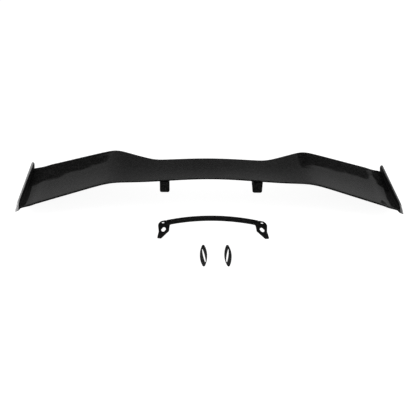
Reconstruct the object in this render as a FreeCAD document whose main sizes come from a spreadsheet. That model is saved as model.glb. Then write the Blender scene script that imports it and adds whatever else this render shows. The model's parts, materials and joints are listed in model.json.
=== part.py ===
"""Racing rear wing with end plates, adjustable pylons, an under-deck tie bracket and foot seals.

Millimetres. X runs across the car to its right, Y forward, Z up. The origin is midway between the
two pylon feet, on the plane of their undersides. The driving dimensions are in the sheet "sizes".
"""
import FreeCAD, Part
import math
import os

import Sketcher
from FreeCAD import Placement, Rotation, Vector

doc = FreeCAD.newDocument("rear_wing")
sheet = doc.addObject("Spreadsheet::Sheet", "sizes")

SIZES = [
    # wing outline
    ("span_over_plates", 1630, "overall width over the end plates"),
    ("trailing_edge_y", -115, "trailing edge at the centre"),
    ("trailing_edge_z", 110, "top of the trailing edge at the centre"),
    ("trailing_edge_arch", 19.4, "fall of the trailing edge from the centre to the knuckles"),
    ("arch_half_width", 371, "half width of the arched centre"),
    ("knuckle_x", 421, "where the outer panels start to droop"),
    ("droop_slope", 0.31, "fall of an outer panel per unit of width"),
    ("droop_blend", 23, "softness of the bend at the knuckle"),
    ("sweep_slope", 0.074, "rearward shift of the trailing edge per unit of droop width"),
    ("centre_chord", 190.5, "chord at the centre, measured along Y"),
    ("centre_chord_growth", 0.00015, "growth of the centre chord per square of width"),
    ("flare_start_x", 242, "where the leading edge starts to swing forward"),
    ("flare_rise", 0.49, "forward swing of the leading edge per unit of width"),
    ("flare_blend", 9, "softness of the leading-edge corners"),
    ("outer_growth", 0.061, "forward growth of the leading edge outboard of the knuckle"),
    ("centre_incidence", 8.0, "nose-down incidence of the centre, degrees"),
    ("outer_incidence", 5.2, "nose-down incidence of the outer panels, degrees"),
    ("twist_start_x", 200, "where the incidence starts to wash out"),
    # wing section
    ("nose_radius", 6, "leading-edge radius"),
    ("trailing_edge_thickness", 8, "height of the blunt trailing edge"),
    ("belly_depth", 13, "extra depth of the lower surface at its fullest"),
    ("hollow_ratio", 0.026, "depth of the hollow upper surface as part of the chord"),
    ("skin_thickness", 2, "laminate thickness"),
    ("bond_gap", 0.3, "adhesive line between bonded pieces"),
    ("spar_thickness", 5, "spar web thickness"),
    ("front_spar_station", 0.2, "front spar, as part of the chord behind the nose"),
    ("rear_spar_station", 0.78, "rear spar, as part of the chord behind the nose"),
    ("edge_strip_width", 9, "depth of the filler strip inside the trailing edge"),
    # end plates and tip ribs
    ("plate_thickness", 8, "end plate laminate with core"),
    ("plate_edge_round", 1.2, "edge rounding of the end plates"),
    ("plate_rear_top_y", -127, "upper rear corner"),
    ("plate_rear_top_z", -10, "upper rear corner"),
    ("plate_front_top_y", 223, "upper front corner"),
    ("plate_front_top_z", -44, "upper front corner"),
    ("plate_front_y", 230, "foremost point"),
    ("plate_front_z", -59, "foremost point"),
    ("plate_front_low_y", 218, "lower front corner"),
    ("plate_front_low_z", -80, "lower front corner"),
    ("plate_low_front_y", 90, "lower edge, front break"),
    ("plate_low_front_z", -87, "lower edge, front break"),
    ("plate_low_rear_y", -50, "lower edge, rear break"),
    ("plate_low_rear_z", -82, "lower edge, rear break"),
    ("plate_low_band_z", -69, "the plate's corners below this height are rounded widely"),
    ("plate_low_round", 30, "rounding of the lower corners"),
    ("plate_front_round", 8, "rounding of the front corners"),
    ("plate_tail_y", -157, "tip of the tail"),
    ("plate_tail_z", -42, "tip of the tail"),
    ("rib_thickness", 16, "tip rib"),
    ("plate_screw_front_y", 140, "foremost end plate screw"),
    ("plate_screw_pitch", 72, "spacing of the end plate screws"),
    ("plate_screw_head", 4.6, "head radius of the end plate screws"),
    ("plate_screw_head_height", 2.8, "head height of the end plate and lug screws"),
    ("plate_screw_seat", 3.2, "depth of the counterbore for a screw head"),
    # pylons
    ("pylon_spacing", 397, "centre to centre of the pylons"),
    ("pylon_length", 144, "length of a pylon along Y"),
    ("pylon_width", 42, "width of a fairing at its shoulder"),
    ("pylon_front_width", 36, "width of a fairing across its nose before rounding"),
    ("pylon_height", 58, "height of the fairing before its top is cut to the wing"),
    ("fairing_wall", 2.5, "fairing laminate"),
    ("fairing_corner", 9, "rounding of the fairing's upright corners"),
    ("foot_round", 6, "rounding around the foot"),
    ("foot_plate_height", 9, "thickness of the foot plate"),
    ("foot_plate_length", 112, "length of the foot plate"),
    ("foot_plate_width", 25, "width of the foot plate"),
    ("fairing_rear_z", 56, "top of the fairing at its rear"),
    ("fairing_front_z", 47, "top of the fairing at its front"),
    ("fairing_flange", 3, "thickness of the fairing's flange at the foot"),
    ("access_radius", 8.5, "tool openings in the fairing's outboard side"),
    ("core_thickness", 6, "web of the pylon core"),
    ("core_rear_y", -50, "rear end of the web"),
    ("core_front_y", 36, "front end of the web"),
    ("core_top_z", 39, "top of the web"),
    ("pivot_y", 14, "incidence pivot"),
    ("pivot_z", 27, "incidence pivot"),
    ("clamp_reach", 46, "distance from the pivot back to the clamp bolt"),
    ("incidence_up", 8, "trailing-edge-up limit from rest, degrees"),
    ("incidence_down", 2, "trailing-edge-down limit from rest, degrees"),
    ("slot_play", 0.35, "clearance of the clamp bolt in its slot"),
    # lugs and pivots
    ("ear_thickness", 4, "each ear of a wing lug"),
    ("ear_gap", 0.15, "side clearance of an ear against the core"),
    ("ear_radius", 9, "rounding of an ear around its bolt"),
    ("lug_width", 31, "width of a lug's base"),
    ("lug_front_y", 29, "front end of a lug's base"),
    ("lug_rear_y", -55, "rear end of a lug's base"),
    ("lug_base_depth", 7, "depth of a lug's base below the wing"),
    ("lug_screw_radius", 2.5, "M5 lug and end plate screws"),
    ("lug_screw_head", 4, "head radius of the lug screws"),
    ("lug_screw_rear_y", -48, "rear pair of lug screws"),
    ("lug_screw_front_y", 22, "front pair of lug screws"),
    ("lug_screw_half_pitch", 11.3, "half the sideways spacing of the lug screws"),
    ("lug_screw_reach", 12, "reach of the lug screws above the wing's underside"),
    ("washer_thickness", 1, "washers"),
    ("nut_height", 5, "low nuts"),
    ("bolt_head_height", 4.5, "low heads"),
    ("bush_radius", 6, "outer radius of the pivot bush"),
    ("pivot_bolt_radius", 4, "M8 pivot bolt"),
    ("clamp_bolt_radius", 3, "M6 clamp bolt"),
    ("running_clearance", 0.05, "radial clearance of a turning fit"),
    ("fit_clearance", 0.1, "radial clearance of an assembled fit"),
    # feet, bracket and seals
    ("mount_radius", 2.5, "M6 tapping radius of the foot inserts"),
    ("mount_relief", 5, "room above an insert for the end of its bolt"),
    ("insert_radius", 4.5, "outer radius of the foot inserts"),
    ("mount_front_y", 25, "front mounting thread"),
    ("mount_rear_y", -26, "rear mounting thread"),
    ("mount_front_out", 8, "front mounting thread, outboard of the foot's middle"),
    ("mount_rear_out", 2.5, "rear mounting thread, outboard of the foot's middle"),
    ("seal_length", 139, "length of the seal's two arcs before the tips are rounded"),
    ("seal_width", 29, "width of a foot seal"),
    ("seal_height", 9, "height of a foot seal"),
    ("seal_floor", 3, "floor of a foot seal"),
    ("seal_wall", 2.2, "wall of a foot seal"),
    ("slit_length", 101, "length of the slit before its tips are rounded"),
    ("slit_width", 7, "width of the slit"),
    ("slit_turn", 7.5, "turn of the slit across the seal, degrees"),
    ("slit_shift", 2, "sideways shift of the slit towards the seal's inner side"),
    ("seal_pair_x", 12, "middle of the pair of seals as laid out"),
    ("seal_rest_half_gap", 49, "half the distance between the seals as laid out"),
    ("seal_rest_y", -382, "seals laid out behind the bracket"),
    ("bracket_rest_x", 6, "middle of the bracket as laid out"),
    ("bracket_height", 8, "height of the bracket's bar, with its bead"),
    ("pad_height", 5, "height of the bracket's pads"),
    ("bracket_web", 2.5, "web thickness of the bracket"),
    ("bracket_rim", 2.5, "rim thickness of the bracket"),
    ("bar_depth", 28, "depth of the bracket's bar along Y"),
    ("bar_front_centre", 90, "front of the bar ahead of the windows, at the centre"),
    ("bar_front_end", 58, "front of the bar ahead of the windows, at the pads"),
    ("window_rest_y", -215, "centre of the bracket's windows as laid out"),
    ("window_out", 8, "middle of a window, outboard of the foot's middle"),
    ("window_half_width", 11, "half the width of a window"),
    ("window_half_length", 27.5, "half the length of a window"),
    ("small_hole_radius", 6.5, "bolt hole ahead of each window"),
    ("small_hole_out", 3.5, "middle of the bolt hole, outboard of the front thread"),
    ("small_hole_ahead", 45, "middle of the bolt hole, ahead of the window's middle"),
    ("ground_z", -88, "plane on which the wing and the loose pieces rest"),
]

ALIASES = []


def add_size(alias, value, note):
    """Writes one named number into the sheet."""
    ALIASES.append(alias)
    row = len(ALIASES)
    sheet.set(f"A{row}", alias)
    sheet.set(f"B{row}", str(value))
    sheet.set(f"C{row}", note)
    sheet.setAlias(f"B{row}", alias)


for alias, value, note in SIZES:
    add_size(alias, value, note)
doc.recompute()


def size(alias):
    """The value of one driving dimension."""
    return float(sheet.get(alias))


# ---------------------------------------------------------------- wing surface

def soft_ramp(distance, softness):
    """Zero before the corner, the distance after it, with a soft turn between."""
    return softness * math.log1p(math.exp(-abs(distance) / softness)) + max(distance, 0.0)


def droop_width(x):
    """How far a station lies outboard of the knuckle, softly."""
    knuckle = size("knuckle_x")
    blend = size("droop_blend")
    return soft_ramp(abs(x) - knuckle, blend) - soft_ramp(-knuckle, blend)


def trailing_edge(x):
    """(y, z) of the top of the trailing edge at a station."""
    turn = math.pi * min(abs(x) / size("arch_half_width"), 1.0)
    arch = size("trailing_edge_arch") * (1 - math.cos(turn)) / 2
    drop = droop_width(x)
    y = size("trailing_edge_y") - size("sweep_slope") * drop
    return y, size("trailing_edge_z") - arch - size("droop_slope") * drop


def leading_edge(x):
    """(y, z) of the nose at a station."""
    reach = abs(x)
    start = size("flare_start_x")
    blend = size("flare_blend")
    inner = start - soft_ramp(start - reach, blend)
    flare = soft_ramp(reach - start, blend) - soft_ramp(reach - size("knuckle_x"), blend)
    y = size("trailing_edge_y") + size("centre_chord")
    y += size("centre_chord_growth") * inner ** 2 + size("flare_rise") * flare
    y += size("outer_growth") * droop_width(x)
    back_y, back_z = trailing_edge(x)
    twist = (reach - size("twist_start_x")) / (size("knuckle_x") - size("twist_start_x"))
    twist = min(max(twist, 0.0), 1.0)
    twist = twist * twist * (3 - 2 * twist)
    incidence = size("centre_incidence") + (size("outer_incidence") - size("centre_incidence")) * twist
    return y, back_z - (y - back_y) * math.tan(math.radians(incidence))


def fullness(behind):
    """Shape of the section's hollow and belly: 0 at both edges, 1 at its fullest."""
    rise, fall = 1.3, 1.1
    peak = rise / (rise + fall)
    return behind ** rise * (1 - behind) ** fall / (peak ** rise * (1 - peak) ** fall)


class Section:
    """The wing's section at one station, drawn from the trailing edge to the nose."""

    def __init__(self, x):
        self.x = x
        back_y, back_z = trailing_edge(x)
        nose_y, nose_z = leading_edge(x)
        self.chord = math.hypot(nose_y - back_y, nose_z - back_z)
        self.back = (back_y, back_z)
        self.along = ((nose_y - back_y) / self.chord, (nose_z - back_z) / self.chord)
        self.hollow = size("hollow_ratio") * self.chord

    def point(self, forward, up):
        """A point given by its distance ahead of the trailing edge and above the chord line."""
        y = self.back[0] + forward * self.along[0] - up * self.along[1]
        z = self.back[1] + forward * self.along[1] + up * self.along[0]
        return Vector(self.x, y, z)

    def upper_height(self, behind):
        return -self.hollow * fullness(behind)

    def lower_height(self, behind):
        nose_depth = 2 * size("nose_radius")
        depth = nose_depth + (size("trailing_edge_thickness") - nose_depth) * behind
        return -depth - (self.hollow + size("belly_depth")) * fullness(behind)

    def forward_at(self, behind):
        return (self.chord - size("nose_radius")) * (1 - behind)

    def surface(self, side, start, end, inset, count):
        """Points along the upper (+1) or lower (-1) surface, moved inward by inset.

        They stand closer together towards the nose, to meet the closely drawn nose evenly.
        """
        height = self.upper_height if side > 0 else self.lower_height
        step = 0.001
        points = []
        for index in range(count):
            root = math.sqrt(start) + (math.sqrt(end) - math.sqrt(start)) * index / (count - 1)
            behind = root * root
            low, high = max(behind - step, 0.0), min(behind + step, 1.0)
            run = self.forward_at(low) - self.forward_at(high)
            slope = (height(low) - height(high)) / run
            tilt = math.atan(slope) if behind > TOUCHING else 0.0
            forward = self.forward_at(behind) + side * inset * math.sin(tilt)
            up = height(behind) - side * inset * math.cos(tilt)
            points.append(self.point(forward, up))
        return points

    def nose(self, start_angle, end_angle, inset, count):
        """Points round the nose; 90 degrees is its top and 0 its foremost point."""
        radius = size("nose_radius")
        points = []
        for index in range(count):
            angle = math.radians(start_angle + (end_angle - start_angle) * index / (count - 1))
            forward = self.chord - radius + (radius - inset) * math.cos(angle)
            up = -radius + (radius - inset) * math.sin(angle)
            points.append(self.point(forward, up))
        return points


SURFACE_POINTS = 12
NOSE_POINTS = 5
TOUCHING = 1e-6
STATION_PITCH = 32


def stations():
    """Spanwise stations of the skins, evenly spaced and the same on both sides."""
    half = skin_half_span()
    count = 2 * round(half / STATION_PITCH)
    return [-half + 2 * half * index / count for index in range(count + 1)]


def skin_half_span():
    return size("span_over_plates") / 2 - size("plate_thickness") - size("bond_gap")


def loop(*runs):
    """Closes runs into a loop, with a straight edge wherever two of them do not touch."""
    joined = []
    for index, run in enumerate(runs):
        following = runs[(index + 1) % len(runs)]
        if len(run) > 1:
            joined.append(run)
        if run[-1].distanceToPoint(following[0]) > TOUCHING:
            joined.append([run[-1], following[0]])
        else:
            following[0] = run[-1]
    return joined


def upper_skin_loop(x):
    """Top laminate: trailing-edge return, upper surface and the upper half of the nose."""
    section = Section(x)
    skin = size("skin_thickness")
    edge = size("trailing_edge_thickness")
    end = 1 - skin / (section.chord - size("nose_radius"))
    return loop(
        [section.point(0, -edge)],
        section.surface(1, 1.0, 0.0, 0.0, SURFACE_POINTS),
        section.nose(90, 0, 0.0, NOSE_POINTS),
        section.nose(0, 90, skin, NOSE_POINTS),
        section.surface(1, 0.0, end, skin, SURFACE_POINTS),
        [section.point(skin, -edge)])


def lower_skin_loop(x):
    """Bottom laminate: lower half of the nose and the lower surface up to the return."""
    section = Section(x)
    skin = size("skin_thickness")
    gap = size("bond_gap")
    length = section.chord - size("nose_radius")
    gap_angle = -math.degrees(gap / size("nose_radius"))
    end = 1 - (skin + gap) / length
    return loop(
        section.nose(gap_angle, -90, 0.0, NOSE_POINTS),
        section.surface(-1, 0.0, end, 0.0, SURFACE_POINTS),
        section.surface(-1, end, 0.0, skin, SURFACE_POINTS),
        section.nose(-90, gap_angle, skin, NOSE_POINTS))


BOX_POINTS = 9


def box_loop(x, front, rear, inset, count=2):
    """Region between the surfaces from one part of the chord behind the nose to another."""
    section = Section(x)
    top = section.surface(1, rear, front, inset, count)
    bottom = section.surface(-1, front, rear, inset, count)
    return [top, [top[-1], bottom[0]], bottom, [bottom[-1], top[0]]]


def inner_inset():
    return size("skin_thickness") + size("bond_gap")


def behind_nose(x, distance):
    """A distance ahead of the trailing edge, as part of the chord behind the nose."""
    return 1 - distance / (Section(x).chord - size("nose_radius"))


def spar_loop(x, station):
    """Upright web between the two skins."""
    half = size("spar_thickness") / 2 / (Section(x).chord - size("nose_radius"))
    return box_loop(x, station - half, station + half, inner_inset())


def edge_strip_loop(x):
    """Filler strip inside the return of the trailing edge."""
    rear = inner_inset()
    front = rear + size("edge_strip_width")
    return box_loop(x, behind_nose(x, front), behind_nose(x, rear), inner_inset())


def envelope_loop(x, inset):
    """The whole section moved inward by inset, as one closed outline."""
    section = Section(x)
    end = 1.0
    if inset > 0:
        end = 1 - inset / (section.chord - size("nose_radius"))
    return loop(
        section.surface(1, end, 0.0, inset, SURFACE_POINTS),
        section.nose(90, -90, inset, 2 * NOSE_POINTS),
        section.surface(-1, 0.0, end, inset, SURFACE_POINTS))


def spline(points, parameters):
    curve = Part.BSplineCurve()
    curve.interpolate(Points=points, Parameters=parameters)
    return curve


def chord_parameters(points):
    """Parameters that follow the distances between points, from 0 to 1."""
    distances = [0.0]
    for before, after in zip(points, points[1:]):
        distances.append(distances[-1] + before.distanceToPoint(after))
    return [round(distance / distances[-1], 6) for distance in distances]


def smooth_face(grid, places):
    """A smooth face through a grid of points, one row per station."""
    across = chord_parameters(grid[len(grid) // 2])
    rows = [spline(row, across) for row in grid]
    columns = [spline(list(poles), places) for poles in zip(*(row.getPoles() for row in rows))]
    surface = Part.BSplineSurface()
    surface.buildFromPolesMultsKnots(
        [column.getPoles() for column in columns],
        rows[0].getMultiplicities(), columns[0].getMultiplicities(),
        rows[0].getKnots(), columns[0].getKnots(),
        False, False, rows[0].Degree, columns[0].Degree)
    return surface.toShape()


def boundary_edge(face, start, end):
    """The edge of a face that joins two given points."""
    def distance(edge):
        ends = edge.Vertexes[0].Point, edge.Vertexes[-1].Point
        forward = ends[0].distanceToPoint(start) + ends[1].distanceToPoint(end)
        return min(forward, ends[0].distanceToPoint(end) + ends[1].distanceToPoint(start))
    return min(face.Edges, key=distance)


def clockwise(outline):
    """The same closed outline, turned so that it runs clockwise with Y to the right and Z up."""
    points = [point for run in outline for point in run[:-1]]
    area = 0.0
    for point, following in zip(points, points[1:] + points[:1]):
        area += point.y * following.z - following.y * point.z
    return [run[::-1] for run in reversed(outline)] if area > 0 else outline


def span_solid(make_loop, places):
    """A solid swept across the stations; its outline's curved runs become smooth surfaces."""
    loops = [clockwise(make_loop(x)) for x in places]
    count = len(loops[0])
    curved = {}
    corners = {}
    for index in range(count):
        grid = [outline[index] for outline in loops]
        if len(grid[0]) == 2:
            continue
        face = smooth_face(grid, places)
        curved[index] = face
        corners[index] = boundary_edge(face, grid[0][0], grid[-1][0])
        corners[(index + 1) % count] = boundary_edge(face, grid[0][-1], grid[-1][-1])
    for index in range(count):
        if index not in corners:
            points = [outline[index][0] for outline in loops]
            corners[index] = spline(points, places).toShape()
    faces = []
    for index in range(count):
        if index in curved:
            faces.append(curved[index])
        else:
            faces.append(Part.makeRuledSurface(corners[index], corners[(index + 1) % count]))
    for outline in (loops[0], loops[-1]):
        rim = [boundary_edge(face, run[0], run[-1]) for face, run in zip(faces, outline)]
        faces.append(Part.Face(Part.Wire(Part.sortEdges(rim)[0])))
    shell = Part.makeShell(faces)
    shell.sewShape()
    return Part.Solid(shell)


def local_stations(low, high, pitch=STATION_PITCH / 2):
    count = max(2, round((high - low) / pitch))
    return [low + (high - low) * index / count for index in range(count + 1)]


def lower_surface_z(x, y):
    """Height of the wing's underside over a point, found by bisection along the chord."""
    section = Section(x)
    low, high = 0.0, 1.0
    for _ in range(40):
        middle = (low + high) / 2
        point = section.point(section.forward_at(middle), section.lower_height(middle))
        if point.y > y:
            low = middle
        else:
            high = middle
    return point.z


# ---------------------------------------------------------------- document helpers

PIECES = []


def keep(piece, label):
    """Names a finished piece and lists it for writing."""
    piece.Label = label
    PIECES.append(piece)
    return piece


def feature(label, shape):
    """A piece whose shape comes from Part's own functions."""
    piece = doc.addObject("Part::Feature", label)
    piece.Shape = shape
    piece.Placement = Placement()
    return keep(piece, label)


def mirrored(piece, label, middle=0.0):
    """The right-hand twin of a left-hand piece, across an upright plane at x = middle."""
    twin = doc.addObject("Part::Mirroring", label)
    twin.Source = piece
    twin.Base = (middle, 0, 0)
    twin.Normal = (1, 0, 0)
    return keep(twin, label)


def new_body(label):
    body = doc.addObject("PartDesign::Body", label)
    body.Label = label
    return body


def new_sketch(body, name, plane_role, offset="0"):
    """A sketch on one of the body's own origin planes, moved along its normal by an expression."""
    plane = next(item for item in body.Origin.OriginFeatures if item.Role == plane_role)
    sketch = body.newObject("Sketcher::SketchObject", name)
    sketch.AttachmentSupport = [(plane, "")]
    sketch.MapMode = "FlatFace"
    sketch.setExpression("AttachmentOffset.Base.z", offset)
    return sketch


def evaluate(text):
    """The value of an expression over the sheet's aliases."""
    return float(sheet.evalExpression(text))


def bound(text):
    """The same expression as other objects of the document must spell it."""
    words = sorted(ALIASES, key=len, reverse=True)
    parts = []
    position = 0
    while position < len(text):
        match = next((word for word in words if text.startswith(word, position)), None)
        parts.append("sizes." + match if match else text[position])
        position += len(match) if match else 1
    return "".join(parts)


def fix_point(sketch, geometry, vertex, across, up):
    """Ties a sketch point to two expressions measured from the sketch's origin."""
    for kind, text in (("DistanceX", across), ("DistanceY", up)):
        constraint = Sketcher.Constraint(kind, -1, 1, geometry, vertex, evaluate(text))
        index = sketch.addConstraint(constraint)
        sketch.setExpression(f"Constraints[{index}]", bound(text))


def draw_polygon(sketch, corners):
    """A closed outline of straight lines; each corner is a pair of expressions."""
    points = [Vector(evaluate(across), evaluate(up), 0) for across, up in corners]
    first = sketch.GeometryCount
    for index, point in enumerate(points):
        sketch.addGeometry(Part.LineSegment(point, points[(index + 1) % len(points)]), False)
    for index, (across, up) in enumerate(corners):
        following = first + (index + 1) % len(points)
        sketch.addConstraint(Sketcher.Constraint("Coincident", first + index, 2, following, 1))
        fix_point(sketch, first + index, 1, across, up)


def draw_circle(sketch, across, up, radius):
    centre = Vector(evaluate(across), evaluate(up), 0)
    index = sketch.addGeometry(Part.Circle(centre, Vector(0, 0, 1), evaluate(radius)), False)
    fix_point(sketch, index, 3, across, up)
    constraint = sketch.addConstraint(Sketcher.Constraint("Radius", index, evaluate(radius)))
    sketch.setExpression(f"Constraints[{constraint}]", bound(radius))


def pad(body, sketch, length, name="Pad"):
    solid = body.newObject("PartDesign::Pad", name)
    solid.Profile = sketch
    solid.setExpression("Length", bound(length))
    doc.recompute()
    return solid


def pocket(body, sketch, length=None, reverse=False, name="Pocket"):
    """Cuts a sketch out of the body and makes sure that it removed something."""
    before = body.Shape.Volume
    cut = body.newObject("PartDesign::Pocket", name)
    cut.Profile = sketch
    cut.Reversed = reverse
    if length is None:
        cut.Type = "ThroughAll"
        cut.Midplane = True
    else:
        cut.setExpression("Length", bound(length))
    doc.recompute()
    if body.Shape.Volume > before - 0.01:
        raise RuntimeError(f"{body.Label}: {name} cut nothing")
    return cut


def edge_names(shape, test):
    return [f"Edge{index}" for index, edge in enumerate(shape.Edges, start=1) if test(edge)]


def fillet(body, base, test, radius, name="Fillet"):
    """Rounds the edges that pass a test."""
    names = edge_names(base.Shape, test)
    if not names:
        raise RuntimeError(f"{body.Label}: {name} found no edge")
    rounding = body.newObject("PartDesign::Fillet", name)
    rounding.Base = (base, names)
    rounding.setExpression("Radius", bound(radius))
    doc.recompute()
    return rounding


# ---------------------------------------------------------------- wing pieces

def cylinder(radius, length, start, direction):
    return Part.makeCylinder(radius, length, start, direction)


SIDES = (-1, 1)
ACROSS = Vector(1, 0, 0)
UP = Vector(0, 0, 1)


def pylon_x(side):
    return side * size("pylon_spacing") / 2


def lug_screw_places(side):
    """Feet of the lug screws: (x, y) of the two pairs on one side."""
    places = []
    for y in (size("lug_screw_rear_y"), size("lug_screw_front_y")):
        for sign in SIDES:
            places.append((pylon_x(side) + sign * size("lug_screw_half_pitch"), y))
    return places


def lug_base_slope():
    """Slope of the lugs' flat underside, along Y."""
    return (size("lug_front_z") - size("lug_rear_z")) / (size("lug_front_y") - size("lug_rear_y"))


def lug_screw_seat(y):
    """Height at which a screw's head just touches the underside of a lug."""
    base = size("lug_rear_z") + lug_base_slope() * (y - size("lug_rear_y")) - size("lug_base_depth")
    return base - abs(lug_base_slope()) * size("lug_screw_head")


def lug_screw_holes(radius):
    """Upright drillings for the lug screws, from below the lugs to past the screws' ends."""
    holes = []
    for side in SIDES:
        for x, y in lug_screw_places(side):
            seat = lug_screw_seat(y)
            top = lower_surface_z(x, y) + size("lug_screw_reach") + size("mount_relief")
            holes.append(cylinder(radius, top - seat, Vector(x, y, seat), UP))
    return holes


def make_wing_skins():
    feature("wing_upper_skin", span_solid(upper_skin_loop, stations()))
    feature("wing_lower_skin", span_solid(lower_skin_loop, stations()))


def make_wing_structure():
    inner_half = skin_half_span() - size("rib_thickness") - size("bond_gap")
    places = [x for x in stations() if abs(x) < inner_half - 1]
    places = [-inner_half] + places + [inner_half]
    for label, alias in (("front_spar", "front_spar_station"), ("rear_spar", "rear_spar_station")):
        feature(label, span_solid(lambda x: spar_loop(x, size(alias)), places))
    feature("trailing_edge_strip", span_solid(edge_strip_loop, places))


def make_tip_ribs():
    """Solid ribs that close the wing's ends and take the end plate screws."""
    outer = skin_half_span()
    inner = outer - size("rib_thickness")
    hole = size("lug_screw_radius") + size("fit_clearance") / 2
    for side, label in zip(SIDES, ("left_tip_rib", "right_tip_rib")):
        places = sorted(side * (inner + (outer - inner) * part) for part in (0, 0.5, 1))
        rib = span_solid(lambda x: box_loop(x, RIB_FRONT, RIB_REAR, inner_inset(), BOX_POINTS), places)
        drillings = []
        for y, z in plate_screw_places():
            start = Vector(side * (outer - PLATE_SCREW_GRIP - 1), y, z)
            drillings.append(cylinder(hole, 30, start, ACROSS * side))
        feature(label, rib.cut(drillings))


RIB_FRONT = 0.03
RIB_REAR = 0.95
PLATE_SCREW_COUNT = 4
PLATE_SCREW_GRIP = 12
ORDINALS = ("first", "second", "third", "fourth")


def plate_screw_places():
    """(y, z) of the end plate screws, along the middle of the tip section."""
    section = Section(skin_half_span() - PLATE_SCREW_GRIP / 2)
    places = []
    for index in range(PLATE_SCREW_COUNT):
        y = size("plate_screw_front_y") - size("plate_screw_pitch") * index
        forward = (y - section.back[0]) / section.along[0]
        behind = 1 - forward / (section.chord - size("nose_radius"))
        up = (section.upper_height(behind) + section.lower_height(behind)) / 2
        places.append((y, section.point(forward, up).z))
    return places


def make_mount_blocks():
    """Solid blocks between the spars; the lug screws thread into them."""
    half = size("lug_width") / 2 + MOUNT_BLOCK_MARGIN
    hole = size("lug_screw_radius") + size("fit_clearance") / 2
    front = size("front_spar_station") + SPAR_CLEARANCE
    rear = size("rear_spar_station") - SPAR_CLEARANCE
    for side, label in zip(SIDES, ("left_mount_block", "right_mount_block")):
        places = local_stations(pylon_x(side) - half, pylon_x(side) + half)
        block = span_solid(lambda x: box_loop(x, front, rear, inner_inset(), BOX_POINTS), places)
        feature(label, block.cut(lug_screw_holes(hole)))


SPAR_CLEARANCE = 0.022
MOUNT_BLOCK_MARGIN = 6


# ---------------------------------------------------------------- end plates

def make_end_plates():
    body = new_body("left_end_plate")
    outer = "-span_over_plates / 2"
    sketch = new_sketch(body, "plate_outline", "YZ_Plane", bound(outer))
    draw_polygon(sketch, [
        ("plate_rear_top_y", "plate_rear_top_z"),
        ("plate_tail_y", "plate_tail_z"),
        ("plate_low_rear_y", "plate_low_rear_z"),
        ("plate_low_front_y", "plate_low_front_z"),
        ("plate_front_low_y", "plate_front_low_z"),
        ("plate_front_y", "plate_front_z"),
        ("plate_front_top_y", "plate_front_top_z"),
    ])
    plate = pad(body, sketch, "plate_thickness")
    along_x = lambda edge: abs(edge.tangentAt(edge.FirstParameter).x) > 0.99
    low = lambda edge: edge.CenterOfMass.z < size("plate_low_band_z")
    low_corner = lambda edge: along_x(edge) and low(edge)
    blend = fillet(body, plate, low_corner, "plate_low_round", "LowerCorners")
    front = lambda edge: along_x(edge) and edge.CenterOfMass.y > size("plate_front_low_y") + 1
    fillet(body, blend, front, "plate_front_round", "FrontCorners")
    rim = fillet(body, body.Tip, lambda edge: not along_x(edge), "plate_edge_round", "Rim")
    holes = new_sketch(body, "screw_holes", "YZ_Plane", bound(outer))
    seats = new_sketch(body, "screw_seats", "YZ_Plane", bound(outer))
    for index in range(PLATE_SCREW_COUNT):
        across = f"plate_screw_front_y - {index} * plate_screw_pitch"
        up = f"plate_screw_z_{ORDINALS[index]}"
        draw_circle(holes, across, up, "lug_screw_radius + fit_clearance")
        draw_circle(seats, across, up, "plate_screw_head + fit_clearance")
    pocket(body, holes, name="ScrewHoles")
    pocket(body, seats, "plate_screw_seat", reverse=True, name="ScrewSeats")
    keep(body, "left_end_plate")
    mirrored(body, "right_end_plate")


def compound_of(shapes):
    return Part.makeCompound(shapes)


def button_screw(start, direction, radius, head, head_height, length):
    """A button-headed screw: its head grows from start, its shank goes the same way after it."""
    body = cylinder(head, head_height, start, direction)
    shank = cylinder(radius, length, start + direction * head_height, direction)
    socket = hexagon(start, direction, radius * 0.6, head_height * 0.6)
    return body.fuse(shank).removeSplitter().cut(socket)


def hexagon(start, direction, radius, length):
    """A hexagonal prism of a given inscribed radius."""
    side = Vector(0, 0, 1) if abs(direction.z) < 0.5 else Vector(0, 1, 0)
    other = direction.cross(side)
    corner = radius / math.cos(math.pi / 6)
    points = []
    for index in range(7):
        angle = math.pi / 3 * index
        points.append(start + (side * math.cos(angle) + other * math.sin(angle)) * corner)
    return Part.Face(Part.makePolygon(points)).extrude(direction * length)


def make_plate_screws():
    """Screws through the end plates into the tip ribs."""
    seat = size("span_over_plates") / 2 - size("plate_screw_seat") + size("plate_screw_head_height")
    grip = seat - size("plate_screw_head_height") - skin_half_span() + PLATE_SCREW_GRIP
    screws = []
    for side in SIDES:
        for y, z in plate_screw_places():
            screws.append(button_screw(
                Vector(side * seat, y, z), ACROSS * -side, size("lug_screw_radius"),
                size("plate_screw_head"), size("plate_screw_head_height"), grip))
    feature("end_plate_screws", compound_of(screws))


# ---------------------------------------------------------------- lugs and pivots

def clamp_y():
    return size("pivot_y") - size("clamp_reach")


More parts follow.
